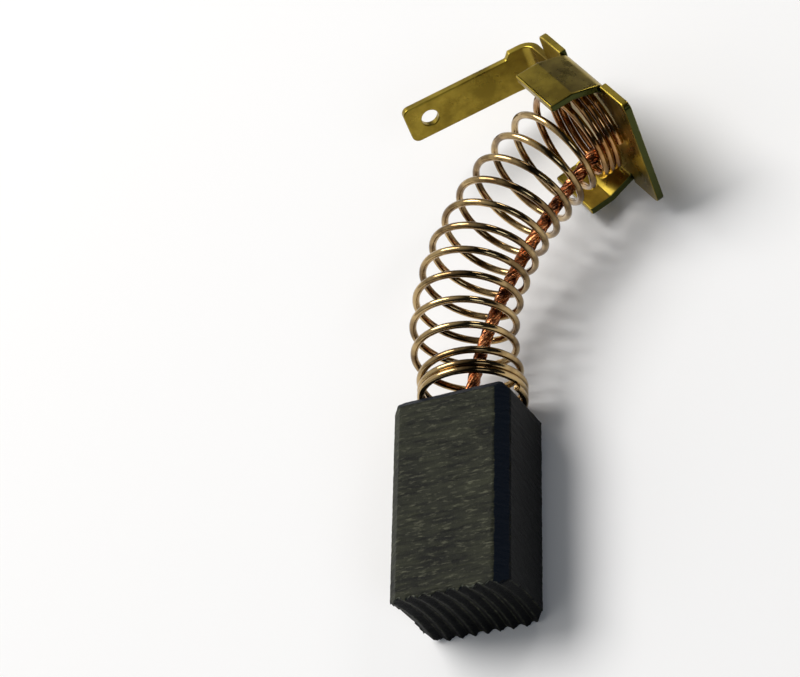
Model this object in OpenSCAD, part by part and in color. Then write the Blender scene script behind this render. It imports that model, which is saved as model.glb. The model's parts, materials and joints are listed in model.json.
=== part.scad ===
// Carbon brush with a pressure spring, a copper shunt and a folded sheet terminal.
// Millimetres. The origin is the middle of the block's back face, which it lies on.
// Z is up, and Y runs along the block towards its spring end.

/* [Carbon block] */
// Width of the block, along the commutator's axis
block_w = 8; // [6:0.1:12]
// Thickness of the block, around the commutator
block_t = 6.3; // [5.5:0.1:10]
// Length of the block
block_l = 14.2; // [10:0.1:24]
// Chamfer on the four long edges
edge_chamfer = 0.8; // [0.2:0.05:1.2]
// Chamfer round the spring end
end_chamfer = 0.7; // [0.2:0.05:1.2]
// Radius of the commutator that the contact face is shaped to
contact_r = 12; // [8:0.5:40]
// Spacing of the bedding grooves across the contact face
groove_pitch = 0.87; // [0.6:0.01:1.6]
// Depth of a bedding groove
groove_depth = 0.3; // [0.1:0.05:0.6]

/* [Shunt socket] */
// Clearance of the shunt's hole round the shunt
socket_gap = 0.15; // [0.05:0.05:0.4]
// Depth of that hole
socket_depth = 4.5; // [3:0.1:8]

/* [Spring] */
// Wire diameter
wire_d = 0.47; // [0.3:0.01:0.6]
// Outer diameter of the coils
spring_d = 7.05; // [5.5:0.05:7.2]
// Closed turns that lie on the block
block_turns = 2.5; // [1:0.5:4]
// Closed turns that lie on the terminal
terminal_turns = 3; // [1:0.5:4]
// Open turns between them
open_turns = 11.5; // [6:0.5:13]

/* [Lie of the spring] */
// How far the terminal's seat lies beyond the block's end
reach = 18.6; // [16:0.1:24]
// How far the seat lies to the side of the block's centre line
side_reach = 9.85; // [7:0.05:12]
// Turn of the seat away from the block's centre line, in degrees
seat_turn = 55.5; // [40:0.5:65]
// Lean of the plate's back towards the surface, in degrees
seat_dip = 12.5; // [0:0.5:18]
// Roll of the terminal about the spring's axis, in degrees
seat_roll = 6.75; // [0:0.25:10]
// How far the coils stand to the side of the block's centre line
coil_shift = 0.4; // [0:0.05:0.45]
// Angle at which the wire starts on the block, in degrees
wire_start = 7; // [0:1:45]
// Side lean of the spring where its open turns start, in degrees
bow_side = 15; // [0:1:20]
// Rise of the spring where its open turns start, in degrees
bow_rise = 22.5; // [10:0.5:35]

/* [Shunt] */
// Diameter of the braided shunt
shunt_d = 0.9; // [0.6:0.05:1.2]
// Depth of the hollows between its strands
strand_hollow = 0.1; // [0.03:0.01:0.15]
// Full turns that its strands make between the ends
strand_twists = 5; // [2:0.5:7]
// Offset of its weld from the middle of the spring's seat
weld_offset = 2.2; // [1:0.1:2.3]

/* [Terminal plate] */
// Thickness of the brass sheet
sheet_t = 0.5; // [0.3:0.05:0.8]
// Length of the plate, past the neck
plate_l = 10.9; // [9:0.1:14]
// Height of the plate across its ears
plate_h = 8.5; // [8.4:0.1:11]
// Radius on the plate's corners
corner_r = 0.5; // [0.2:0.05:0.8]
// Plain stretch of plate before the ears
ear_start = 3.1; // [2:0.1:4]
// Length of an ear along the plate
ear_l = 4.6; // [3:0.1:5.5]
// Height of an ear above the plate's inner face
ear_h = 3.5; // [2.8:0.1:4.5]
// Outward flare of an ear's root half, in degrees
ear_flare = 18; // [5:1:25]
// Outward flare that is left in its tip half, in degrees
tip_flare = 2; // [0:1:5]
// Inner radius of the ears' folds
ear_bend_r = 0.3; // [0.2:0.05:0.5]

/* [Terminal tab] */
// Length of the neck between plate and tab
neck_l = 3.1; // [2.4:0.1:5]
// Width of the neck
neck_w = 3.85; // [3.2:0.05:5]
// Width of the push-on tab
tab_w = 2.8; // [2.8:0.1:3.2]
// Length of the tab from the plate's outer face to its tip
tab_l = 10; // [8:0.1:14]
// Lean of the tab away from the spring, in degrees
tab_lean = 10; // [0:1:20]
// Radius on the tab's tip corners
tab_corner_r = 0.5; // [0.2:0.05:0.8]
// Inner radius of the tab's fold
tab_bend_r = 0.7; // [0.4:0.05:1]
// Diameter of the detent hole in the tab
hole_d = 1.2; // [0.8:0.05:1.4]
// Distance of the hole's centre from the tab's tip
hole_inset = 1.65; // [1.4:0.05:2.5]

/* [Hidden] */

eps = 0.02;             // running clearance between pieces that touch
round_fn = 64;

// Derived places
end_centre = [0, block_l / 2, block_t / 2];
coil_r = (spring_d - wire_d) / 2;
closed_pitch = wire_d + eps;
turns = block_turns + open_turns + terminal_turns;
seat_from_step = ear_start + ear_l / 2;

// Directions of the terminal: along the plate, across the ears, outwards
plate_x = turned([1, 0, 0]);
plate_y = turned([0, 1, 0]);
plate_z = turned([0, 0, 1]);
// The plate's lowest corner touches the surface that the block lies on
seat_h = (seat_from_step - corner_r) * plate_x[2] - (plate_h / 2 - corner_r) * plate_y[2]
    - sheet_t * plate_z[2] + corner_r * norm([plate_x[2], plate_y[2]]);
seat = [side_reach, block_l / 2 + reach, seat_h];

function rot_z(p, a) = [p[0] * cos(a) - p[1] * sin(a), p[0] * sin(a) + p[1] * cos(a), p[2]];
function rot_x(p, a) = [p[0], p[1] * cos(a) - p[2] * sin(a), p[1] * sin(a) + p[2] * cos(a)];
function turned(p) = rot_z(rot_x(rot_z(p, -seat_roll), -90 - seat_dip), -seat_turn);
function unit(v) = v / norm(v);

// Cubic curve through four control points
function curve(c, t) = pow(1 - t, 3) * c[0] + 3 * pow(1 - t, 2) * t * c[1]
    + 3 * (1 - t) * t * t * c[2] + t * t * t * c[3];

module terminal_frame() {
    translate(seat) rotate([-90 - seat_dip, 0, -seat_turn]) rotate([0, 0, -seat_roll]) children();
}

// ---- Tubes swept along a list of frames: [centre, first side, second side] ----
module sweep(frames, section) {
    n = len(section[0]);
    last = len(frames) - 1;
    points = [for (i = [0:last], s = section[i % len(section)])
        frames[i][0] + s[0] * frames[i][1] + s[1] * frames[i][2]];
    sides = [for (i = [0:last - 1], j = [0:n - 1], half = [0, 1]) half == 0
        ? [i * n + j, i * n + (j + 1) % n, (i + 1) * n + (j + 1) % n]
        : [i * n + j, (i + 1) * n + (j + 1) % n, (i + 1) * n + j]];
    caps = [[for (j = [n - 1:-1:0]) j], [for (j = [0:n - 1]) last * n + j]];
    polyhedron(points, concat(sides, caps), convexity = 10);
}

// ---- Carbon block ----
function chamfered(w, h, c) = [[c, 0], [w - c, 0], [w, c], [w, h - c], [w - c, h], [c, h], [0, h - c], [0, c]];

// Profile of a block side whose far end alone is chamfered
function far_chamfered(w, l, c) = [[0, 0], [w, 0], [w, l - c], [w - c, l], [c, l], [0, l - c]];

// Solid of revolution that the contact face is cut with: the commutator's
// surface with the ridges that leave the bedding grooves
module commutator_form() {
    ridges = ceil(block_w / groove_pitch) + 2;
    start = -ridges * groove_pitch / 2;
    profile = concat([[0, start]],
        [for (i = [0:ridges - 1], top = [0, 1])
            [contact_r + top * groove_depth, start + (i + top / 2) * groove_pitch]],
        [[contact_r, -start], [0, -start]]);
    translate([0, -block_l / 2 - sqrt(pow(contact_r, 2) - pow(block_t / 2, 2)), block_t / 2])
        rotate([0, 90, 0]) rotate_extrude($fn = round_fn * 3) polygon(profile);
}

module carbon_block() {
    color([0.2, 0.21, 0.21]) difference() {
        intersection() {
            translate([-block_w / 2, block_l / 2, 0]) rotate([90, 0, 0])
                linear_extrude(block_l) polygon(chamfered(block_w, block_t, edge_chamfer));
            translate([-block_w / 2, -block_l / 2, 0])
                linear_extrude(block_t) polygon(far_chamfered(block_w, block_l, end_chamfer));
            translate([-block_w / 2, -block_l / 2, block_t]) rotate([0, 90, 0])
                linear_extrude(block_w) polygon(far_chamfered(block_t, block_l, end_chamfer));
        }
        commutator_form();
        translate(end_centre) rotate([90, 0, 0]) translate([0, 0, -1])
            cylinder(h = socket_depth + 1, d = shunt_d + 2 * socket_gap, $fn = round_fn);
    }
}

// ---- Pressure spring ----
// Open turns follow a bowed curve. Closed turns stand square on their seats.
// The coils are wider than the block is thick, so they lift off its middle to
// clear the surface.
coil_lift = max(0, spring_d / 2 + eps - block_t / 2);
open_start = end_centre + [coil_shift, wire_d / 2 + eps + block_turns * closed_pitch, coil_lift];
open_end = seat - (wire_d / 2 + eps + terminal_turns * closed_pitch) * plate_z;
bow_dir = [-sin(bow_side) * cos(bow_rise), cos(bow_side) * cos(bow_rise), sin(bow_rise)];
bow = [open_start, open_start + 0.43 * reach * bow_dir, open_end - 0.055 * reach * plate_z, open_end];
axis_turn = acos(plate_z[1]);
axis_side = unit(plate_z - [0, cos(axis_turn), 0]);

// Length of the bow up to each of its sample points, to space the turns evenly
bow_samples = 80;
bow_points = [for (i = [0:bow_samples]) curve(bow, i / bow_samples)];
bow_lengths = [for (i = 0, l = 0; i <= bow_samples;
    l = l + (i < bow_samples ? norm(bow_points[i + 1] - bow_points[i]) : 0), i = i + 1) l];
bow_table = [for (i = [0:bow_samples]) [bow_lengths[i], i / bow_samples]];
function along_bow(share) = curve(bow, lookup(share * bow_lengths[bow_samples], bow_table));

function open_part(k) = min(max((k - block_turns) / open_turns, 0), 1);

// Middle of the coil after k turns
function coil_middle(k) = k < block_turns ? open_start - [0, (block_turns - k) * closed_pitch, 0]
    : k > block_turns + open_turns ? open_end + (k - block_turns - open_turns) * closed_pitch * plate_z
    : along_bow(open_part(k));

// Direction that the coil faces after k turns, from the block's axis to the seat's
function coil_axis(k) = let (u = open_part(k), a = axis_turn * (u - 0.78 * u * (1 - u)))
    [0, cos(a), 0] + sin(a) * axis_side;

function coil_side(k) = unit(cross(coil_axis(k), [0, 0, 1]));
function coil_spoke(k) = let (s = coil_side(k), u = cross(s, coil_axis(k)), a = wire_start - 360 * k)
    cos(a) * s + sin(a) * u;
function wire_point(k) = coil_middle(k) + coil_r * coil_spoke(k);

module pressure_spring() {
    rings_per_turn = 24;
    sides = 8;
    step = 1 / rings_per_turn;
    section = [for (j = [0:sides - 1]) wire_d / 2 * [cos(360 * j / sides), sin(360 * j / sides)]];
    frames = [for (i = [0:turns * rings_per_turn])
        let (k = i * step, along = unit(wire_point(k + step / 4) - wire_point(k - step / 4)),
            up = unit(cross(along, coil_spoke(k))))
        [wire_point(k), cross(up, along), up]];
    color([0.72, 0.5, 0.33]) sweep(frames, [section]);
}

// ---- Copper shunt ----
weld = seat + weld_offset * plate_x - shunt_d / 2 * plate_z;
shunt_root = end_centre - [0, socket_depth - 0.3, 0];
shunt_curve = [end_centre, end_centre + reach * [0.01, 0.455, -0.115],
    weld + reach * (0.083 * plate_x + 0.104 * plate_y - 0.443 * plate_z), weld];

module copper_shunt() {
    rings = 70;
    root_rings = 4;
    lobes = 6;
    flat_part = 0.1;        // share of the length that is pressed flat for the weld
    sides = 2 * lobes;
    section = [for (i = [0:rings]) let (u = i / rings, press = max(0, 1 - (1 - u) / flat_part))
        [for (j = [0:sides - 1])
            let (r = shunt_d / 2 - strand_hollow * (j % 2), a = 360 * (j / sides + strand_twists * u))
            [r * cos(a) * (1 + 0.5 * press), r * sin(a) * (1 - 0.35 * press)]]];
    frames = [for (i = [0:rings])
        let (t = max(0, (i - root_rings) / (rings - root_rings)),
            here = i < root_rings ? shunt_root + (end_centre - shunt_root) * i / root_rings
                : curve(shunt_curve, t),
            along = unit(curve(shunt_curve, t + 0.01) - curve(shunt_curve, t - 0.01)),
            side = unit(cross(along, plate_y)))
        [here, side, cross(along, side)]];
    color([0.8, 0.43, 0.26]) sweep(frames, section);
}

// ---- Terminal: one sheet, folded at the ears and the tab ----
ear_slit = 0.2;         // width of the slits beside the ears
ear_corner_r = 0.35;
ear_root = plate_h / 2 - sheet_t - ear_bend_r;
fold_turn = 90 - tab_lean;
outer_set_back = (tab_bend_r + sheet_t) * tan(fold_turn / 2);
fold_x = -seat_from_step - neck_l + outer_set_back;
flat_l = tab_l - outer_set_back;
taper_start = 0.16 * flat_l;
taper_end = 0.34 * flat_l;

// Normal of a path's i-th stretch, and the path moved sideways by t
function stretch_normal(p, i) = let (d = unit(p[i + 1] - p[i])) [d[1], -d[0]];
function moved_path(p, t) = [for (i = [0:len(p) - 1])
    let (a = stretch_normal(p, max(i - 1, 0)), b = stretch_normal(p, min(i, len(p) - 2)))
    p[i] + t * (a + b) / (1 + a * b)];
function reversed(p) = [for (i = [len(p) - 1:-1:0]) p[i]];
function sheet_outline(p) = concat(p, reversed(moved_path(p, -sheet_t)));

// Rectangle with rounded corners, from its edges
module rounded_box(x0, x1, y0, y1, r) {
    translate([x0, y0 + r]) square([x1 - x0, y1 - y0 - 2 * r]);
    translate([x0 + r, y0]) square([x1 - x0 - 2 * r, y1 - y0]);
    for (x = [x0 + r, x1 - r], y = [y0 + r, y1 - r]) translate([x, y]) circle(r, $fn = 32);
}

// Folded section of an ear, seen along the plate: a fold, a flared root and a tip
module ear_section() {
    half_h = (ear_h - ear_bend_r) / 2;
    fold = [for (a = [90:-(90 - ear_flare) / 8:ear_flare]) [ear_root, -ear_bend_r] + ear_bend_r * [cos(a), sin(a)]];
    crease = fold[len(fold) - 1] + half_h * [tan(ear_flare), -1];
    tip = crease + half_h * [tan(tip_flare), -1];
    polygon(sheet_outline(concat([[ear_root - 1, 0]], fold, [crease, tip])));
}

module ear() {
    intersection() {
        translate([-ear_l / 2, 0, 0]) rotate([90, 0, 90]) linear_extrude(ear_l) ear_section();
        rotate([90, 0, 0]) translate([0, 0, -plate_h]) linear_extrude(plate_h)
            rounded_box(-ear_l / 2, ear_l / 2, -ear_h - eps, ear_h, ear_corner_r);
    }
}

// Flat plate, slit beside each ear so that the ear can fold
module plate_blank() {
    difference() {
        rounded_box(-seat_from_step, plate_l - seat_from_step, -plate_h / 2, plate_h / 2, corner_r);
        for (side = [-1, 1])
            translate([-ear_l / 2 - ear_slit, side > 0 ? ear_root : -plate_h]) square([ear_l + 2 * ear_slit, plate_h - ear_root]);
    }
    translate([fold_x, -neck_w / 2]) square([-seat_from_step - fold_x + 1, neck_w]);
}

// Fold between the neck and the tab, with a short lap onto each
module tab_fold() {
    lap = 0.3;
    arc = [for (a = [90 + fold_turn:-fold_turn / 10:89.9])
        [fold_x, -tab_bend_r] + tab_bend_r * [cos(a), sin(a)]];
    path = concat([arc[0] - lap * [sin(tab_lean), cos(tab_lean)]], arc, [[fold_x + lap, 0]]);
    translate([0, neck_w / 2, 0]) rotate([90, 0, 0]) linear_extrude(neck_w) polygon(sheet_outline(path));
}

// The tab's blank: it tapers from the neck and has a rounded tip and a hole
module tab_blank() {
    difference() {
        union() {
            polygon([[0, -neck_w / 2], [taper_start, -neck_w / 2], [taper_end, -tab_w / 2],
                [taper_end, tab_w / 2], [taper_start, neck_w / 2], [0, neck_w / 2]]);
            rounded_box(taper_end - 2 * tab_corner_r, flat_l, -tab_w / 2, tab_w / 2, tab_corner_r);
        }
        translate([flat_l - hole_inset, 0]) circle(d = hole_d, $fn = round_fn);
    }
}

module terminal_plate() {
    color([0.62, 0.55, 0.2]) terminal_frame() {
        linear_extrude(sheet_t) plate_blank();
        ear();
        mirror([0, 1, 0]) ear();
        tab_fold();
        translate([fold_x, 0, -tab_bend_r]) rotate([0, -fold_turn, 0]) translate([0, 0, tab_bend_r])
            linear_extrude(sheet_t) mirror([1, 0]) tab_blank();
    }
}

carbon_block();
pressure_spring();
copper_shunt();
terminal_plate();
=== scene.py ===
import json
import math
from bisect import bisect_right
import bpy
import bmesh
from mathutils import Matrix, Vector, noise as fieldNoise


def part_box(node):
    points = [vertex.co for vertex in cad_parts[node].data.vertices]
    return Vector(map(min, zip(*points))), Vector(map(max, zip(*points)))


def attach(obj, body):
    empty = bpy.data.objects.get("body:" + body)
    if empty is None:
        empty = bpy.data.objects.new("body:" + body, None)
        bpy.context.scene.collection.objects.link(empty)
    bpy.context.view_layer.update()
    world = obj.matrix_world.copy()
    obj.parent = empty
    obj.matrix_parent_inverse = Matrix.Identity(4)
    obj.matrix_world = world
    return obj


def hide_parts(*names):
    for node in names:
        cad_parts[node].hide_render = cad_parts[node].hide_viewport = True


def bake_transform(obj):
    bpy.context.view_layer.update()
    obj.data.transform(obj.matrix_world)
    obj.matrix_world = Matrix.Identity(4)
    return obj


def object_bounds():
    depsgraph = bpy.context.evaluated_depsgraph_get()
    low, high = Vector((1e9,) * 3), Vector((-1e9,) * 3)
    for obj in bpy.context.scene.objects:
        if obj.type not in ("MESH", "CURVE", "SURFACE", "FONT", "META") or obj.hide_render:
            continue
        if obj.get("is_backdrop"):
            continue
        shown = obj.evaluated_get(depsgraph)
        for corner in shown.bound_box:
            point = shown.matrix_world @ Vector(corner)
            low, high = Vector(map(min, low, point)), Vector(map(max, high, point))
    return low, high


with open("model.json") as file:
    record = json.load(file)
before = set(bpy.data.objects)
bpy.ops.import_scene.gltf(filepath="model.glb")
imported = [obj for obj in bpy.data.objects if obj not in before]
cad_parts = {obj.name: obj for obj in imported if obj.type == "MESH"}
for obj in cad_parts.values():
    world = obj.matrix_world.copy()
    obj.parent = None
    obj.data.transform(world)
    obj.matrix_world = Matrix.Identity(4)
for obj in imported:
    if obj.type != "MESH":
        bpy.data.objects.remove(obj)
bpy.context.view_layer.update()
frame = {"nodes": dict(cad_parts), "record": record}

nodes = frame["nodes"]
record = frame["record"]
print("frame loaded:", sorted(nodes))

# lengths that the pieces share
places = {
    "sheetM": 0.0005,           # thickness of the terminal's sheet
    "backInsetM": 0.00005,      # the back mount's middle lies this far along the plate from the coil's seat
    "reachM": 0.0186,           # from the block's end to the seat, along the block
    "bendFromBlockM": 0.0015,   # a length from the block's end,
    "bendFromSeatM": 0.0016,    # and one from the seat
}

# directions and points, all worked out from the frame
mounts = {mount["name"]: mount for mount in record["mounts"]}
blockLow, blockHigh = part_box("carbon_block")
blockEnd = Vector((0, blockHigh.y, (blockLow.z + blockHigh.z) / 2))     # middle of the spring end
plateOut = Vector(mounts["terminal_back"]["axis"]).normalized()         # out of the plate's back
tabOut = Vector(mounts["tab_hole"]["axis"]).normalized()                # along the tab's hole
tabAlong = Vector(mounts["push_on_tab"]["axis"]).normalized()           # towards the tab's tip
tabHole = Vector(mounts["tab_hole"]["pos_m"])
plateDown = tabAlong.cross(tabOut).normalized()
plateDown *= -1 if plateDown.z > 0 else 1
plateAlong = plateDown.cross(plateOut).normalized()
backMiddle = Vector(mounts["terminal_back"]["pos_m"])
seat = backMiddle - plateOut * places["sheetM"] - plateAlong * places["backInsetM"]

black = (0, 0, 0)
white = (1, 1, 1)


# node material helpers
def grey(level):
    return (level, level, level)


def opaque(colour):
    return (*colour, 1)


def newMaterial(name):
    material = bpy.data.materials.new(name)
    material.use_nodes = True
    tree = material.node_tree
    tree.nodes.clear()
    output = tree.nodes.new("ShaderNodeOutputMaterial")
    shader = tree.nodes.new("ShaderNodeBsdfPrincipled")
    tree.links.new(shader.outputs[0], output.inputs[0])
    return material, tree, shader


def addNode(tree, kind, **settings):
    node = tree.nodes.new("ShaderNode" + kind)
    for key, value in settings.items():
        if hasattr(node, key):
            setattr(node, key, value)
        else:
            node.inputs[key].default_value = value
    return node


def feed(tree, socket, value):
    if isinstance(value, bpy.types.NodeSocket):
        tree.links.new(value, socket)
    else:
        socket.default_value = value


def objectPlace(tree):
    return addNode(tree, "TexCoord").outputs["Object"]


def surfaceNormal(tree):
    return addNode(tree, "NewGeometry").outputs["Normal"]


def pattern(tree, scale, detail, roughness, stretch=(1, 1, 1), turnDeg=0):
    mapping = addNode(tree, "Mapping", Scale=stretch, Rotation=(0, 0, math.radians(turnDeg)))
    tree.links.new(objectPlace(tree), mapping.inputs["Vector"])
    cloud = addNode(tree, "TexNoise", Scale=scale, Detail=detail, Roughness=roughness)
    tree.links.new(mapping.outputs["Vector"], cloud.inputs["Vector"])
    return cloud.outputs["Fac"]


# the first colour up to the span's start, the second from its end on
def fade(tree, factor, span, first, second):
    node = addNode(tree, "ValToRGB")
    for point, place, colour in zip(node.color_ramp.elements, span, (first, second)):
        point.position = place
        point.color = opaque(colour)
    tree.links.new(factor, node.inputs["Fac"])
    return node.outputs["Color"]


def mix(tree, factor, first, second, blend="MIX"):
    node = addNode(tree, "Mix", data_type="RGBA", blend_type=blend)
    feed(tree, node.inputs[0], factor)
    feed(tree, node.inputs[6], first)       # the Mix node's two colour sockets
    feed(tree, node.inputs[7], second)
    return node.outputs[2]


def calculate(tree, operation, first, second=0.0):
    node = addNode(tree, "Math", operation=operation)
    feed(tree, node.inputs[0], first)
    feed(tree, node.inputs[1], second)
    return node.outputs[0]


def scaled(tree, value, share):
    return calculate(tree, "MULTIPLY", value, share)


def roughen(tree, shader, height, depth):
    node = addNode(tree, "Bump", Strength=1.0, Distance=depth)
    tree.links.new(height, node.inputs["Height"])
    tree.links.new(node.outputs[0], shader.inputs["Normal"])


def dotProduct(tree, vector, direction):
    node = addNode(tree, "VectorMath", operation="DOT_PRODUCT")
    tree.links.new(vector, node.inputs[0])
    node.inputs[1].default_value = direction
    return node.outputs["Value"]


# 0 at the centre and 1 at the reach
def farFrom(tree, centre, reach):
    node = addNode(tree, "VectorMath", operation="DISTANCE")
    tree.links.new(objectPlace(tree), node.inputs[0])
    node.inputs[1].default_value = centre
    return calculate(tree, "DIVIDE", node.outputs["Value"], reach)


camera = {
    "lensMm": 112.5,
    "sensorMm": 36.0,
    "clipM": (0.005, 20),
    "right": (0.8943, 0.023, -0.447),
    "ahead": (-0.3923, 0.5213, -0.7579),
    "blockInView": (0.005385, 0.018093, 0.15262),       # the contact end's place: right, down and ahead
}


def placeCamera(settings):
    data = bpy.data.cameras.new("camera")
    data.lens = settings["lensMm"]
    data.sensor_width = settings["sensorMm"]
    data.clip_start, data.clip_end = settings["clipM"]
    viewer = bpy.data.objects.new("camera", data)
    bpy.context.collection.objects.link(viewer)
    right = Vector(settings["right"]).normalized()
    ahead = Vector(settings["ahead"])
    ahead = (ahead - right * ahead.dot(right)).normalized()
    up = right.cross(ahead)
    turn = Matrix((right, up, -ahead)).transposed()
    toRight, toGround, away = settings["blockInView"]
    contactEnd = Vector((0, blockLow.y, 0))
    place = contactEnd - right * toRight + up * toGround - ahead * away
    viewer.matrix_world = Matrix.Translation(place) @ turn.to_4x4()
    bpy.context.scene.camera = viewer


placeCamera(camera)
print("camera placed")


studio = {
    "floorHalfM": 1.5,
    "floorColour": (0.87, 0.87, 0.88),
    "floorRoughness": 0.9,
    "brightSky": (0.68, 0.68, 0.66),
    "darkSky": (0.014, 0.016, 0.020),
    "skyAxis": (-0.75, 0.25, 0.6),      # where the bright side of the room lies
    "skySpan": (0.30, 0.85),            # the room turns from dark to bright between these
    "worldStrength": 1.0,
    "lamps": {      # each lamp's place from the part's middle in m, size in m, power in W and colour
        "keyLamp": ((-0.32, 0.22, 0.55), 0.42, 4.3, (1.0, 0.98, 0.95)),
        "fillLamp": ((0.45, -0.45, 0.40), 0.30, 0.6, (0.72, 0.84, 1.0)),
        "rimLamp": ((0.30, 0.50, 0.30), 0.16, 0.45, (1.0, 0.98, 0.95)),
    },
}


def floorMaterial(settings):
    material, _, shader = newMaterial("floorPaper")
    shader.inputs["Base Color"].default_value = opaque(settings["floorColour"])
    shader.inputs["Roughness"].default_value = settings["floorRoughness"]
    return material


def layFloor(settings):
    bpy.ops.object.select_all(action="DESELECT")
    bpy.ops.mesh.primitive_plane_add(size=2 * settings["floorHalfM"], location=(0, 0, 0))
    floor = bpy.context.object
    floor.name = "floor"
    floor.data.materials.append(floorMaterial(settings))
    floor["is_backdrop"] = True


def hangLamps(settings, middle):
    for name, (offset, size, power, colour) in settings["lamps"].items():
        data = bpy.data.lights.new(name, "AREA")
        data.shape = "DISK"
        data.size = size
        data.energy = power
        data.color = colour
        lamp = bpy.data.objects.new(name, data)
        bpy.context.collection.objects.link(lamp)
        lamp.location = middle + Vector(offset)
        lamp.rotation_euler = Vector(offset).to_track_quat("Z", "Y").to_euler()


def buildWorld(settings):
    world = bpy.data.worlds.new("studio")
    bpy.context.scene.world = world
    world.use_nodes = True
    tree = world.node_tree
    room = tree.nodes["Background"]
    outward = addNode(tree, "TexCoord").outputs["Generated"]
    towards = dotProduct(tree, outward, Vector(settings["skyAxis"]).normalized())
    sky = fade(tree, towards, settings["skySpan"], settings["darkSky"], settings["brightSky"])
    tree.links.new(sky, room.inputs["Color"])
    room.inputs["Strength"].default_value = settings["worldStrength"]


def buildStudio(settings):
    low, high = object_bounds()
    layFloor(settings)
    hangLamps(settings, (low + high) / 2)
    buildWorld(settings)
    bpy.context.scene.view_settings.view_transform = "Standard"


buildStudio(studio)
print("studio built")


# modelling helpers
mending = {
    "cornerM": 1e-7,            # a node's loose corners nearer than this are one
    "flatDeg": 0.5,             # faces that meet flatter than this are one
    "ringM": 1e-8,              # likewise for a tube's corners
    "tubeSmoothDeg": 50,
}


def pickOnly(piece):
    bpy.ops.object.select_all(action="DESELECT")
    piece.select_set(True)
    bpy.context.view_layer.objects.active = piece


# a copy of a node, with its loose triangles joined into faces
def mergedCopy(nodeName, name):
    piece = nodes[nodeName].copy()
    piece.data = nodes[nodeName].data.copy()
    piece.name = piece.data.name = name
    piece.parent = None
    for key in list(piece.keys()):
        del piece[key]
    bpy.context.collection.objects.link(piece)
    pickOnly(piece)
    bpy.ops.object.mode_set(mode="EDIT")
    bpy.ops.mesh.select_all(action="SELECT")
    bpy.ops.mesh.remove_doubles(threshold=mending["cornerM"])
    bpy.ops.mesh.dissolve_limited(angle_limit=math.radians(mending["flatDeg"]))
    bpy.ops.object.mode_set(mode="OBJECT")
    return piece


def applyAll(piece):
    pickOnly(piece)
    for modifier in list(piece.modifiers):
        bpy.ops.object.modifier_apply(modifier=modifier.name)


def paint(piece, material):
    piece.data.materials.clear()
    piece.data.materials.append(material)


def curvePoint(handles, t):
    first, second, third, fourth = handles
    return ((1 - t) ** 3 * first + 3 * (1 - t) ** 2 * t * second
            + 3 * (1 - t) * t * t * third + t ** 3 * fourth)


# one round, capped tube along each route, all in one mesh
def tubes(name, routes, radius, extraSides):
    data = bpy.data.curves.new(name, "CURVE")
    data.dimensions = "3D"
    data.bevel_depth = radius
    data.bevel_resolution = extraSides
    data.use_fill_caps = True
    for route in routes:
        spline = data.splines.new("POLY")
        spline.points.add(len(route) - 1)
        for point, place in zip(spline.points, route):
            point.co = (*place, 1)
    piece = bpy.data.objects.new(name, data)
    bpy.context.collection.objects.link(piece)
    pickOnly(piece)
    bpy.ops.object.convert(target="MESH")
    bpy.ops.object.mode_set(mode="EDIT")
    bpy.ops.mesh.select_all(action="SELECT")
    bpy.ops.mesh.remove_doubles(threshold=mending["ringM"])
    bpy.ops.mesh.normals_make_consistent(inside=False)
    bpy.ops.object.mode_set(mode="OBJECT")
    bpy.ops.object.shade_smooth_by_angle(angle=math.radians(mending["tubeSmoothDeg"]))
    return bpy.context.object


carbon = {
    "darkColour": (0.004, 0.0045, 0.0035),      # the ground front and back, between these two
    "paleColour": (0.030, 0.032, 0.019),
    "fleckColour": (0.075, 0.075, 0.05),
    "shadedSideColour": (0.0022, 0.0026, 0.003),      # painted shade: the sides, turned from the lamps, painted near black
    # painted navy sheen on the chamfers
    "chamferSheenColour": (0.002, 0.005, 0.011),
    "rimColour": (0.105, 0.11, 0.085),          # paler where the front meets the contact face
    "roughness": 0.55,
    "specular": 0.09,
    "striations": {"scale": 1.0, "detail": 3, "roughness": 0.6, "stretch": (420, 3600, 900), "turnDeg": 4},
    "flecks": {"scale": 1.0, "detail": 3, "roughness": 0.65, "stretch": (1500, 5600, 1400), "turnDeg": 5},
    "patches": {"scale": 420, "detail": 4, "roughness": 0.6},
    "grain": {"scale": 9000, "detail": 2, "roughness": 0.6},
    "patchShare": 0.4,
    "grainShare": 0.3,
    "mottleSpan": (0.38, 0.64),
    "fleckSpan": (0.55, 0.75),
    "shadeToSheenSpan": (0.45, 0.62),        # from the painted shade on the sides to the painted sheen on the chamfers, by how far a face looks up or down
    "groundOrShadedSpan": (0.78, 0.9),          # from the painted shade and sheen to the ground colour, likewise
    "contactWeight": 0.9,
    "leftChamferWeight": 0.64,          # the left chamfer takes the ground colour in part, and less of the painted shade and sheen
    "rimSpan": (0.33, 0.44),
    "striationDepthM": 0.00011,
    "voxelM": 0.00008,
    "smoothDeg": 40,
    "chipDepthM": 0.00008,
    "chipsPerM": 2600,
    "chipField": (0.6, 2.0, 4),         # fall-off, step between and number of the chips' sizes
    "chipBias": 0.25,
    "fullWearAt": 0.05,                 # an edge this sharp wears to the full depth
    "contactLook": -0.8,                # a corner that looks further than this to -Y is on the contact face
    "contactShare": 0.25,               # how much of the chips' depth the contact face gets
}


def groundColour(tree, settings, striations):
    patches = scaled(tree, pattern(tree, **settings["patches"]), settings["patchShare"])
    mottle = calculate(tree, "ADD", scaled(tree, striations, 1 - settings["patchShare"]), patches)
    base = fade(tree, mottle, settings["mottleSpan"], settings["darkColour"], settings["paleColour"])
    streaks = pattern(tree, **settings["flecks"])
    flecks = fade(tree, streaks, settings["fleckSpan"], black, settings["fleckColour"])
    return mix(tree, 1.0, base, flecks, "ADD")


# the block's colour, with painted shade and painted sheen chosen by which way each face looks
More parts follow.
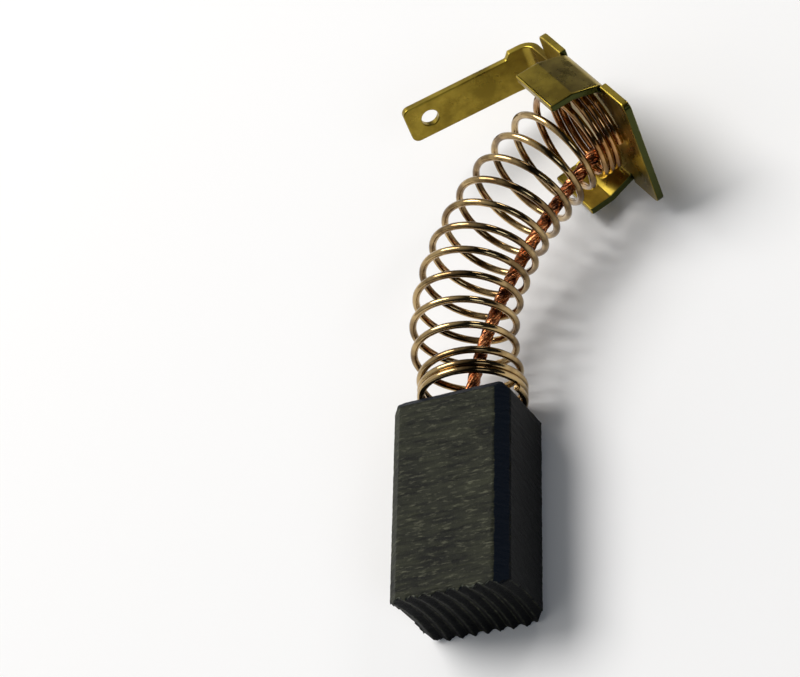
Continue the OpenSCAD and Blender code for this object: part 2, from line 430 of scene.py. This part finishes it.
def carbonColour(tree, settings, striations):
    look = addNode(tree, "SeparateXYZ")
    tree.links.new(surfaceNormal(tree), look.inputs[0])
    x, y, z = (look.outputs[axis] for axis in "XYZ")
    upOrDown = calculate(tree, "ABSOLUTE", z)
    # painted shade on the sides and painted navy sheen on the chamfers, by how far a face looks up or down
    side, chamfer = settings["shadedSideColour"], settings["chamferSheenColour"]
    pressed = fade(tree, upOrDown, settings["shadeToSheenSpan"], side, chamfer)
    contact = scaled(tree, y, -settings["contactWeight"])
    leftChamfer = scaled(tree, calculate(tree, "SUBTRACT", z, x), settings["leftChamferWeight"])
    widest = calculate(tree, "MAXIMUM", calculate(tree, "MAXIMUM", upOrDown, contact), leftChamfer)
    # the front, the contact face and part of the left chamfer keep the ground colour; the other faces get
    # the painted shade and sheen
    worked = fade(tree, widest, settings["groundOrShadedSpan"], black, white)
    body = mix(tree, worked, pressed, groundColour(tree, settings, striations))
    corner = scaled(tree, z, scaled(tree, y, -1.0))     # high where a face looks up and to the contact end
    rim = fade(tree, corner, settings["rimSpan"], black, white)
    return mix(tree, rim, body, opaque(settings["rimColour"]))


def carbonMaterial(settings):
    material, tree, shader = newMaterial("groundCarbon")
    striations = pattern(tree, **settings["striations"])
    tree.links.new(carbonColour(tree, settings, striations), shader.inputs["Base Color"])
    shader.inputs["Roughness"].default_value = settings["roughness"]
    shader.inputs["Specular IOR Level"].default_value = settings["specular"]
    grain = scaled(tree, pattern(tree, **settings["grain"]), settings["grainShare"])
    roughen(tree, shader, calculate(tree, "ADD", striations, grain), settings["striationDepthM"])
    return material


# chips every corner that doesn't look as a flat face or a chamfer does
def wearEdges(piece, settings):
    d = math.sqrt(0.5)
    looks = ((1, 0, 0), (0, 1, 0), (0, 0, 1),
             (d, 0, d), (d, 0, -d), (d, d, 0), (-d, d, 0), (0, d, d), (0, d, -d))
    flats = [Vector(look) for look in looks]        # where the block's faces and chamfers look
    moves = []
    for vertex in piece.data.vertices:
        sharp = 1 - max(abs(vertex.normal.dot(flat)) for flat in flats)
        chip = fieldNoise.fractal(vertex.co * settings["chipsPerM"], *settings["chipField"])
        depth = settings["chipDepthM"]
        if vertex.normal.y < settings["contactLook"]:
            depth *= settings["contactShare"]
        worn = min(1, sharp / settings["fullWearAt"])
        moves.append(vertex.normal * (worn * max(0, chip + settings["chipBias"]) * depth))
    for vertex, move in zip(piece.data.vertices, moves):
        vertex.co -= move


def modelBlock(settings):
    block = mergedCopy("carbon_block", "carbonBody")
    remesh = block.modifiers.new("grain", "REMESH")
    remesh.mode = "VOXEL"
    remesh.voxel_size = settings["voxelM"]
    applyAll(block)
    wearEdges(block, settings)
    bpy.ops.object.shade_smooth_by_angle(angle=math.radians(settings["smoothDeg"]))
    paint(block, carbonMaterial(settings))
    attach(block, "block")
    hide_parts("carbon_block")
    return block


block = modelBlock(carbon)
print("block modelled:", len(block.data.polygons), "faces")


spring = {
    "wireRadiusM": 0.000235,
    "coilRadiusM": 0.00329,
    "gapM": 0.00002,
    "blockTurns": 2.5,
    "openTurns": 11.5,
    "terminalTurns": 3,
    "ringsPerTurn": 72,
    "extraSides": 5,
    "startDeg": 8,              # where the wire starts round the coil
    "shiftM": 0.0005,           # sideways place of the coil's foot on the block
    "bowSideDeg": 11.5,         # the bow leaves the block this far to the side and upwards
    "bowRiseDeg": 26,
    "startPull": 0.45,          # the bow's handles, as shares of the reach
    "endPull": 0.02,
    "bowSamples": 200,
    "turnLag": 0.58,            # how far the coils' turn lags in the middle of the bow
    "colour": (0.47, 0.33, 0.155),
    "dullColour": (0.17, 0.105, 0.045),
    "bronzeSpan": (0.40, 0.58),
    "copperReflectionColour": (0.42, 0.17, 0.05),        # painted reflection of the copper shunt, reddening the turns nearest the seat
    "copperReflectionReachM": 0.005,
    "copperReflectionSpan": (0.5, 1.0),
    "roughness": 0.09,
    "roughSpan": (0.35, 0.7),
    "clouds": {"scale": 420, "detail": 4, "roughness": 0.6},
    "smears": {"scale": 1500, "detail": 3, "roughness": 0.6},
    "drawMarks": {"scale": 6000, "detail": 2, "roughness": 0.5},
    "markDepthM": 0.000004,
}


# the line that the open turns' middles follow, and the length up to each of its points
def bowPath(settings, openStart, openEnd):
    side = math.radians(settings["bowSideDeg"])
    rise = math.radians(settings["bowRiseDeg"])
    leave = Vector((-math.sin(side) * math.cos(rise), math.cos(side) * math.cos(rise), math.sin(rise)))
    reach = places["reachM"]
    handles = (openStart, openStart + leave * settings["startPull"] * reach,
               openEnd - plateOut * settings["endPull"] * reach, openEnd)
    samples = settings["bowSamples"]
    points = [curvePoint(handles, sample / samples) for sample in range(samples + 1)]
    lengths = [0.0]
    for here, there in zip(points, points[1:]):
        lengths.append(lengths[-1] + (there - here).length)
    return points, lengths


def alongPath(points, lengths, share):
    target = share * lengths[-1]
    before = min(len(points) - 2, bisect_right(lengths, target) - 1)
    step = (target - lengths[before]) / (lengths[before + 1] - lengths[before])
    return points[before].lerp(points[before + 1], step)


def coilRoute(settings):
    wire, gap, radius = settings["wireRadiusM"], settings["gapM"], settings["coilRadiusM"]
    closedStart, opened = settings["blockTurns"], settings["openTurns"]
    closedPitch = 2 * wire + gap
    foot = wire + gap
    openStart = blockEnd + Vector((settings["shiftM"], foot + closedStart * closedPitch,
                                   radius + wire + gap - blockEnd.z))
    openEnd = seat - plateOut * (foot + settings["terminalTurns"] * closedPitch)
    points, lengths = bowPath(settings, openStart, openEnd)
    fullLean = math.acos(plateOut.y)
    leanSide = (plateOut - Vector((0, plateOut.y, 0))).normalized()
    turns = closedStart + opened + settings["terminalTurns"]
    route = []
    for ring in range(int(turns * settings["ringsPerTurn"]) + 1):
        turned = ring / settings["ringsPerTurn"]
        share = min(1, max(0, (turned - closedStart) / opened))
        if turned < closedStart:
            middle = openStart - Vector((0, (closedStart - turned) * closedPitch, 0))
        elif share >= 1:
            middle = openEnd + plateOut * (turned - closedStart - opened) * closedPitch
        else:
            middle = alongPath(points, lengths, share)
        lean = fullLean * (share - settings["turnLag"] * share * (1 - share))
        axis = Vector((0, math.cos(lean), 0)) + leanSide * math.sin(lean)
        across = axis.cross(Vector((0, 0, 1))).normalized()
        upward = across.cross(axis)
        angle = math.radians(settings["startDeg"]) - 2 * math.pi * turned
        route.append(middle + (across * math.cos(angle) + upward * math.sin(angle)) * radius)
    return route


def wireMaterial(settings):
    material, tree, shader = newMaterial("drawnWire")
    clouds = pattern(tree, **settings["clouds"])
    bronze = fade(tree, clouds, settings["bronzeSpan"], settings["dullColour"], settings["colour"])
    # painted reflection: the turns nearest the seat are reddened as though lit by the copper
    near = fade(tree, farFrom(tree, seat, settings["copperReflectionReachM"]), settings["copperReflectionSpan"], white, black)
    copperReflected = mix(tree, near, bronze, opaque(settings["copperReflectionColour"]))
    tree.links.new(copperReflected, shader.inputs["Base Color"])
    shader.inputs["Metallic"].default_value = 1.0
    smooth = settings["roughness"]
    smears = pattern(tree, **settings["smears"])
    dulled = fade(tree, smears, settings["roughSpan"], grey(smooth), grey(2 * smooth))
    tree.links.new(dulled, shader.inputs["Roughness"])
    roughen(tree, shader, pattern(tree, **settings["drawMarks"]), settings["markDepthM"])
    return material


def modelSpring(settings):
    piece = tubes("springWire", [coilRoute(settings)], settings["wireRadiusM"], settings["extraSides"])
    paint(piece, wireMaterial(settings))
    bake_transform(piece)
    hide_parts("pressure_spring")
    return piece


springWire = modelSpring(spring)
print("spring modelled:", len(springWire.data.polygons), "faces")


shunt = {
    "socketM": 0.0042,                      # how deep the rope stands in the block
    "weldAlongM": 0.0022,                   # the weld's place on the plate, from the coil's seat
    "weldLiftM": 0.00045,
    "leaveBlock": (0.016, 0.454, -0.1),     # handle at the block, in shares of the reach
    "leaveWeld": (0.087, 0.087, -0.416),    # handle at the weld: along, down and out of the plate
    "strands": 7,
    "strandOrbitM": 0.0003,
    "wiresPerStrand": 6,
    "wireOrbitM": 0.00009,
    "wireRadiusM": 0.000052,
    "extraSides": 1,
    "ropeTwists": 5.5,
    "strandTwists": 15,
    "rings": 190,
    "rootShare": 0.16,                      # share of the rings that stand in the block
    "headingStep": 0.01,
    "strayTurns": (12.9, 7.7),              # each strand and wire strays by its own small amount
    "straySpread": 0.06,
    "strayWaves": 9,
    "strayShift": 3,
    "pressedShare": 0.1,                    # the last tenth is pressed flat: wider and lower
    "pressedWider": 0.5,
    "pressedLower": 0.35,
    "frayM": 0.00025,
    "colour": (0.62, 0.25, 0.10),
    "darkColour": (0.05, 0.014, 0.009),
    "copperSpan": (0.4, 0.6),
    "clouds": {"scale": 1700, "detail": 4, "roughness": 0.65},
    "roughness": 0.22,
}


# the rope's middle line, with its heading and two directions across it
def shuntFrames(settings):
    weld = seat + plateAlong * settings["weldAlongM"] - plateOut * settings["weldLiftM"]
    reach = places["reachM"]
    along, down, out = settings["leaveWeld"]
    handles = (blockEnd, blockEnd + Vector(settings["leaveBlock"]) * reach,
               weld + (plateAlong * along + plateDown * down + plateOut * out) * reach, weld)
    rootRings = int(settings["rings"] * settings["rootShare"])
    freeRings = settings["rings"] - rootRings
    step = settings["headingStep"]
    frames = []
    for ring in range(settings["rings"] + 1):
        t = max(0, (ring - rootRings) / freeRings)
        here = curvePoint(handles, t)
        if ring < rootRings:
            here = blockEnd - Vector((0, settings["socketM"] * (1 - ring / rootRings), 0))
        heading = (curvePoint(handles, t + step) - curvePoint(handles, t - step)).normalized()
        side = heading.cross(plateDown).normalized()
        frames.append((here, heading, side, heading.cross(side)))
    return frames


def wireRoute(settings, frames, strand, wire):
    strandSeed, wireSeed = settings["strayTurns"]
    stray = math.sin(strandSeed * strand + wireSeed * wire)
    ropeOrbit, wireOrbit = settings["strandOrbitM"], settings["wireOrbitM"]
    route = []
    for ring, (here, heading, side, other) in enumerate(frames):
        share = ring / settings["rings"]
        pressed = max(0, 1 - (1 - share) / settings["pressedShare"])
        ropeTurn = 2 * math.pi * (settings["ropeTwists"] * share + strand / settings["strands"])
        wireTurn = 2 * math.pi * (settings["strandTwists"] * share + wire / settings["wiresPerStrand"])
        sideways = ropeOrbit * math.cos(ropeTurn) + wireOrbit * math.cos(wireTurn)
        upwards = ropeOrbit * math.sin(ropeTurn) + wireOrbit * math.sin(wireTurn)
        wave = math.sin(settings["strayWaves"] * share + settings["strayShift"] * stray)
        slack = 1 + settings["straySpread"] * stray * wave
        sideways *= slack * (1 + settings["pressedWider"] * pressed)
        upwards *= slack * (1 - settings["pressedLower"] * pressed)
        frayed = heading * settings["frayM"] * pressed * stray
        route.append(here + side * sideways + other * upwards + frayed)
    return route


def shuntWires(settings):
    frames = shuntFrames(settings)
    return [wireRoute(settings, frames, strand, wire)
            for strand in range(settings["strands"]) for wire in range(settings["wiresPerStrand"])]


def copperMaterial(settings):
    material, tree, shader = newMaterial("strandedCopper")
    clouds = pattern(tree, **settings["clouds"])
    copper = fade(tree, clouds, settings["copperSpan"], settings["darkColour"], settings["colour"])
    tree.links.new(copper, shader.inputs["Base Color"])
    shader.inputs["Metallic"].default_value = 1.0
    shader.inputs["Roughness"].default_value = settings["roughness"]
    return material


def modelShunt(settings):
    piece = tubes("shuntRope", shuntWires(settings), settings["wireRadiusM"], settings["extraSides"])
    paint(piece, copperMaterial(settings))
    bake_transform(piece)
    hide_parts("copper_shunt")
    return piece


shuntRope = modelShunt(shunt)
print("shunt modelled:", len(shuntRope.data.polygons), "faces")


brass = {
    "edgeRoundM": 0.00008,
    "edgeSegments": 3,
    "edgeDeg": 35,
    "smoothDeg": 32,
    "creaseDeg": (12, 20),          # an edge that turns this much is an ear's crease
    # how far corners lie behind the tab's hole, and how far back they go
    "shoulders": ((0.0059, 0.0006), (0.00429, 0.0019)),
    # how far edges of the neck lie below the tab's middle, and how far down they go
    "neckEdges": ((0.00193, -0.0005), (-0.00192, 0.00007)),
    "neckFromHoleM": 0.005,
    "pickWithinM": 0.0002,
    "colour": (0.42, 0.31, 0.045),
    "tarnish": (0.20, 0.14, 0.018),
    "tarnishSpan": (0.38, 0.62),
    "foldColour": (0.10, 0.055, 0.012),     # darker, patchy brown round the tab's neck fold
    "foldFromSeatM": (0.0062, 0.0002),      # how far behind the seat and inwards
    "foldReachM": 0.0035,
    "foldPatchiness": 0.8,
    "foldSpan": (0.35, 0.95),
    "foldStrength": 0.75,
    "shadedEndColour": (0.045, 0.05, 0.014),  # painted shade on the plate's end faces that look along the plate, and not on the tab's face,
    "shadedEndSpan": (0.55, 0.85),
    "plateBehindSeatM": 0.0045,             # which lies further than this behind the seat
    "clouds": {"scale": 260, "detail": 5, "roughness": 0.65},
    "smears": {"scale": 700, "detail": 4, "roughness": 0.6},
    "rollMarks": {"scale": 420, "detail": 3, "roughness": 0.5},
    "markDepthM": 0.000025,
    "roughnesses": (0.22, 0.38),
    "roughSpan": (0.3, 0.7),
}


def brassColour(tree, settings):
    clouds = pattern(tree, **settings["clouds"])
    rolled = fade(tree, clouds, settings["tarnishSpan"], settings["tarnish"], settings["colour"])
    along, out = settings["foldFromSeatM"]
    fromFold = farFrom(tree, seat - plateAlong * along - plateOut * out, settings["foldReachM"])
    uneven = scaled(tree, calculate(tree, "SUBTRACT", clouds, 0.5), settings["foldPatchiness"])
    patchy = calculate(tree, "ADD", fromFold, uneven)
    browned = fade(tree, patchy, settings["foldSpan"], grey(settings["foldStrength"]), black)
    return mix(tree, browned, rolled, opaque(settings["foldColour"]))


def brassMaterial(settings):
    material, tree, shader = newMaterial("rolledBrass")
    plateFrom = seat.dot(plateAlong) - settings["plateBehindSeatM"]
    onPlate = calculate(tree, "GREATER_THAN", dotProduct(tree, objectPlace(tree), plateAlong), plateFrom)
    # painted shade: the plate's end faces that look along the plate are painted dark green
    atEnd = dotProduct(tree, surfaceNormal(tree), plateAlong)
    shadedEnd = scaled(tree, fade(tree, atEnd, settings["shadedEndSpan"], black, white), onPlate)
    colour = mix(tree, shadedEnd, brassColour(tree, settings), opaque(settings["shadedEndColour"]))
    tree.links.new(colour, shader.inputs["Base Color"])
    shader.inputs["Metallic"].default_value = 1.0
    smoothest, roughest = (grey(level) for level in settings["roughnesses"])
    dulled = fade(tree, pattern(tree, **settings["smears"]), settings["roughSpan"], smoothest, roughest)
    tree.links.new(dulled, shader.inputs["Roughness"])
    roughen(tree, shader, pattern(tree, **settings["rollMarks"]), settings["markDepthM"])
    return material


# moves the corners whose place from the tab's hole is wanted
def moveCorners(piece, isWanted, shift):
    pickOnly(piece)
    bpy.ops.object.mode_set(mode="EDIT")
    bpy.ops.mesh.select_all(action="DESELECT")
    mesh = bmesh.from_edit_mesh(piece.data)
    for vertex in mesh.verts:
        fromHole = vertex.co - tabHole
        vertex.select = isWanted(fromHole.dot(tabAlong), fromHole.dot(plateDown), fromHole.dot(tabOut))
    mesh.select_flush_mode()
    bmesh.update_edit_mesh(piece.data)
    bpy.ops.transform.translate(value=shift)
    bpy.ops.object.mode_set(mode="OBJECT")


def straightenTab(piece, settings):
    near = settings["pickWithinM"]
    neckEnd = -settings["neckFromHoleM"]
    for behind, back in settings["shoulders"]:
        moveCorners(piece, lambda along, down, out: abs(along + behind) < near and abs(out) < 2 * near,
                    -tabAlong * back)
    for below, lower in settings["neckEdges"]:
        moveCorners(piece, lambda along, down, out: abs(down - below) < near and along < neckEnd,
                    plateDown * lower)


# the ears' slight folds stay crisp under smooth shading
def markCreases(piece, settings):
    low, high = (math.radians(angle) for angle in settings["creaseDeg"])
    mesh = bmesh.new()
    mesh.from_mesh(piece.data)
    for edge in mesh.edges:
        if low < edge.calc_face_angle(0) < high:
            edge.smooth = False
    mesh.to_mesh(piece.data)
    mesh.free()


def modelTerminal(settings):
    piece = mergedCopy("terminal_plate", "terminalSheet")
    straightenTab(piece, settings)
    bevel = piece.modifiers.new("edges", "BEVEL")
    bevel.width = settings["edgeRoundM"]
    bevel.segments = settings["edgeSegments"]
    bevel.limit_method = "ANGLE"
    bevel.angle_limit = math.radians(settings["edgeDeg"])
    bevel.use_clamp_overlap = False
    applyAll(piece)
    bpy.ops.object.shade_smooth_by_angle(angle=math.radians(settings["smoothDeg"]))
    markCreases(piece, settings)
    paint(piece, brassMaterial(settings))
    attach(piece, "terminal")
    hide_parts("terminal_plate")
    return piece


terminal = modelTerminal(brass)
print("terminal modelled:", len(terminal.data.polygons), "faces")
